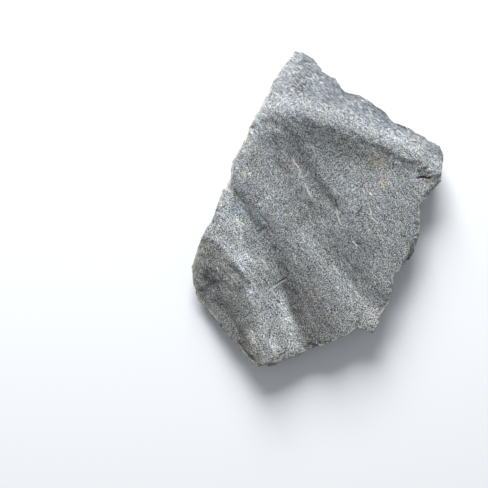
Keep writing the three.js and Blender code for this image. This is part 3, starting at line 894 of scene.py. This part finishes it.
def addHues(tree, place, here, colour):
    look = hueFinish
    warmth = here["warmth"]
    stains = noise(tree, place, look["stainSize"], seed=6.0)
    speckle = noise(tree, place, look["speckleSize"], roughness=0.6, seed=8.0)
    speckle = rise(tree, speckle, *look["speckle"])
    warmStain = rise(tree, stains, *look["warmStain"])
    warm = calc(tree, "MULTIPLY_ADD", calc(tree, "MAXIMUM", warmth, 0.0), speckle, warmStain)
    cool = calc(tree, "SUBTRACT", rise(tree, stains, *look["coolStain"]), warmth)
    blue = product(tree, rise(tree, cool, *look["blueStain"]), speckle)
    shares = {
        "warmTint": calc(tree, "MINIMUM", warm, 1.0),
        "coolTint": rise(tree, cool, 0.0, 1.0),
        "blueTint": blue,
    }
    for tint, share in shares.items():
        colour = mixColour(tree, share, colour, tinted(tree, colour, look[tint]))

    warmer = centred(tree, noise(tree, place, look["hueSize"], roughness=0.6, seed=16.0))
    greener = centred(tree, noise(tree, place, look["hueSize"], roughness=0.6, seed=17.0))
    small = addNode(tree, "ShaderNodeCombineColor", {
        "Red": calc(tree, "MULTIPLY_ADD", warmer, look["warmSpread"], 1.0),
        "Green": calc(tree, "MULTIPLY_ADD", greener, look["greenSpread"], 1.0),
        "Blue": calc(tree, "MULTIPLY_ADD", warmer, -look["warmSpread"], 1.0),
    })
    colour = tinted(tree, colour, small.outputs[0])

    branches = noise(tree, place, look["veinSize"], detail=3.0, roughness=0.7, seed=14.0)
    branches = calc(tree, "ABSOLUTE", centred(tree, branches))
    vein = product(
        tree,
        rise(tree, branches, *look["veinWidth"]),
        rise(tree, warmth, *look["veinWarmth"]),
        look["veinShare"],
    )
    return mixColour(tree, vein, colour, look["vein"])


# Fine marks. They wander a little, taper at both ends and break up into grit, apart from the split. The
# cracks carry painted shadow as well, and the flake marks a painted highlight.
markFinish = {
    "crackAndShadowColour": (0.02, 0.02, 0.02, 1),
    "widths": {"crackAndShadow": 0.4 * mm, "split": 0.55 * mm, "scratch": 0.36 * mm, "flakeHighlight": 1.5 * mm},
    "core": 0.3,  # the share of the width where a mark is full
    "taper": 8.0,  # how quickly a mark comes in from its ends
    "flakeEdge": (-0.05 * mm, 0.05 * mm),
    "wanderSize": 2.2 * mm,
    "wander": 1.4 * mm,
    "gritSize": 0.7 * mm,
    "grit": (0.38, 0.6, 0.3, 1.0),
    "scratchShare": 0.75,
    "flakeShare": 0.8,
}


def addMarks(tree, place, colour, heights):
    look = markFinish
    wander = noise(tree, place, look["wanderSize"], detail=3.0, roughness=0.7, seed=9.0)
    wander = product(tree, centred(tree, wander), look["wander"])
    grit = rise(tree, noise(tree, place, look["gritSize"], detail=1.0, seed=10.0), *look["grit"])

    def shareOf(kind):  # a flake's edge is sharp on one side and fades out on the other
        width = look["widths"][kind]
        along = attribute(tree, kind + "Along")
        taper = product(tree, along, calc(tree, "SUBTRACT", 1.0, along), look["taper"])
        away = total(tree, attribute(tree, kind + "Across"), wander)
        if kind == "flakeHighlight":
            band = product(tree, rise(tree, away, width, 0.0), rise(tree, away, *look["flakeEdge"]))
        else:
            core = product(tree, width, look["core"])
            band = rise(tree, calc(tree, "ABSOLUTE", away), width, core)
        return product(tree, band, calc(tree, "MINIMUM", taper, 1.0))

    # dark lines: real cracks and painted shadow below small steps
    crackAndShadow = calc(tree, "MAXIMUM", product(tree, shareOf("crackAndShadow"), grit), shareOf("split"))
    scratch = product(tree, shareOf("scratch"), grit, look["scratchShare"])
    flakeHighlight = product(tree, shareOf("flakeHighlight"), grit, look["flakeShare"])
    light = calc(tree, "MAXIMUM", scratch, flakeHighlight)
    heights["cracks"] = crackAndShadow
    heights["scratches"] = light
    return mixColour(tree, crackAndShadow, mixColour(tree, light, colour, freshStoneAndHighlight), look["crackAndShadowColour"])


# The thin pale rim of the top, a warm painted highlight where the edge catches the light, in patches
# along the pale stretches.
rimFinish = {
    "tint": (0.8, 0.74, 0.63, 1),
    "stoneShare": 0.25,  # how much of the stone's own colour shows through
    "sideGap": (1.5 * mm, 0.1 * mm),
    "topGap": (0.9 * mm, 0.3 * mm),
    "patchSize": 3 * mm,
    "patch": (0.38, 0.55, 0.2, 1.0),
}


def addRim(tree, place, here, colour):
    look = rimFinish
    patches = noise(tree, place, look["patchSize"], roughness=0.6, seed=7.0)
    litPatches = product(tree, rise(tree, patches, *look["patch"]), here["rimHighlight"])
    rim = product(
        tree,
        rise(tree, here["rimGap"], *look["sideGap"]),
        rise(tree, here["topGap"], *look["topGap"]),
        litPatches,
    )
    litRimColour = mixColour(tree, look["stoneShare"], look["tint"], colour)
    return mixColour(tree, rim, colour, litRimColour)


# How the stone takes the light, and how much each layer's relief adds to the bump.
surfaceFinish = {
    "roughness": 0.46,
    "coarseRoughness": 0.3,
    "fleckGloss": 0.2,
    "specular": 0.35,
    "sheen": 0.08,
    "sheenRoughness": 0.4,
    "bumpStrength": 0.8,
    "bumpDistance": 0.14 * mm,
    "bumpShares": {
        "grains": 0.9,
        "lines": 0.7,
        "flakes": 0.8,
        "edges": 1.6,
        "bands": 5.0,
        "cracks": -2.5,
        "scratches": 0.6,
    },
}


def makeStone():
    stone = bpy.data.materials.new("phyllite")
    stone.use_nodes = True
    tree = stone.node_tree
    shader = tree.nodes["Principled BSDF"]
    look = surfaceFinish
    place = addNode(tree, "ShaderNodeTexCoord").outputs["Object"]
    names = ("toneAndShade", "warmth", "flaky", "flank", "sideShare", "rimGap", "topGap", "rimHighlight")
    here = {name: attribute(tree, name) for name in names}
    heights = {}
    colour, coarse, fleck = addGrains(tree, place, here, heights)
    colour = addShades(tree, place, here, colour, heights)
    colour = addFlakes(tree, place, here, colour, heights)
    colour = addHues(tree, place, here, colour)
    colour = addMarks(tree, place, colour, heights)
    colour = addRim(tree, place, here, colour)
    feed(tree, shader.inputs["Base Color"], colour)

    roughness = calc(tree, "MULTIPLY_ADD", coarse, look["coarseRoughness"], look["roughness"])
    roughness = calc(tree, "SUBTRACT", roughness, product(tree, fleck, look["fleckGloss"]))
    feed(tree, shader.inputs["Roughness"], roughness)
    shader.inputs["Specular IOR Level"].default_value = look["specular"]
    shader.inputs["Sheen Weight"].default_value = look["sheen"]
    shader.inputs["Sheen Roughness"].default_value = look["sheenRoughness"]

    height = 0.0
    for name, share in look["bumpShares"].items():
        height = total(tree, height, product(tree, heights[name], share))
    bump = addNode(tree, "ShaderNodeBump", {"Height": height})
    bump.inputs["Strength"].default_value = look["bumpStrength"]
    bump.inputs["Distance"].default_value = look["bumpDistance"]
    feed(tree, shader.inputs["Normal"], bump.outputs[0])
    return stone


stone = makeStone()
print("stone's finish made:", len(stone.node_tree.nodes), "nodes")
slab = makeSlab(stone)
print("slab made:", len(slab.data.polygons), "faces")

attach(slab, "root")
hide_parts("phyllite_slab")


# A plain pale floor, soft light from beyond the pointed end, and the camera straight above.
studio = {
    "floorSize": 3.0,
    "floorColour": (0.86, 0.88, 0.9, 1),
    "floorRoughness": 0.9,
    "floorSpecular": 0.1,
    "keyFrom": 98,
    "keyElevation": 31,
    "keyDistance": 0.9,
    "keySize": 0.5,
    "keyPower": 15,
    "skyColour": (0.93, 0.96, 1.0, 1),
    "skyStrength": 0.34,
}
view = {
    "frameWidth": 174.8 * mm,
    "topPlane": 13 * mm,
    "lens": 85,
    "sensor": 36,
    "centre": (-26.4 * mm, -12.6 * mm),
}


def makeStudio():
    bpy.ops.mesh.primitive_plane_add(size=studio["floorSize"])
    floor = bpy.context.object
    floor.name = "floor"
    pale = bpy.data.materials.new("paleFloor")
    pale.use_nodes = True
    paleShader = pale.node_tree.nodes["Principled BSDF"]
    paleShader.inputs["Base Color"].default_value = studio["floorColour"]
    paleShader.inputs["Roughness"].default_value = studio["floorRoughness"]
    paleShader.inputs["Specular IOR Level"].default_value = studio["floorSpecular"]
    floor.data.materials.append(pale)

    key = bpy.data.lights.new("key", "AREA")
    key.size = studio["keySize"]
    key.energy = studio["keyPower"]
    lamp = bpy.data.objects.new("key", key)
    turn = math.radians(studio["keyFrom"])
    up = math.radians(studio["keyElevation"])
    way = Vector((math.cos(turn) * math.cos(up), math.sin(turn) * math.cos(up), math.sin(up)))
    lamp.location = way * studio["keyDistance"]
    lamp.rotation_euler = way.to_track_quat("Z", "Y").to_euler()
    bpy.context.scene.collection.objects.link(lamp)

    world = bpy.data.worlds.new("sky")
    world.use_nodes = True
    background = world.node_tree.nodes["Background"]
    background.inputs["Color"].default_value = studio["skyColour"]
    background.inputs["Strength"].default_value = studio["skyStrength"]
    bpy.context.scene.world = world
    bpy.context.scene.view_settings.view_transform = "Standard"


def makeCamera():
    camera = bpy.data.cameras.new("camera")
    camera.lens = view["lens"]
    camera.sensor_width = view["sensor"]
    holder = bpy.data.objects.new("camera", camera)
    away = view["frameWidth"] * view["lens"] / view["sensor"]
    holder.location = (*view["centre"], view["topPlane"] + away)
    bpy.context.scene.collection.objects.link(holder)
    bpy.context.scene.camera = holder


makeStudio()
makeCamera()
print("studio and camera ready")
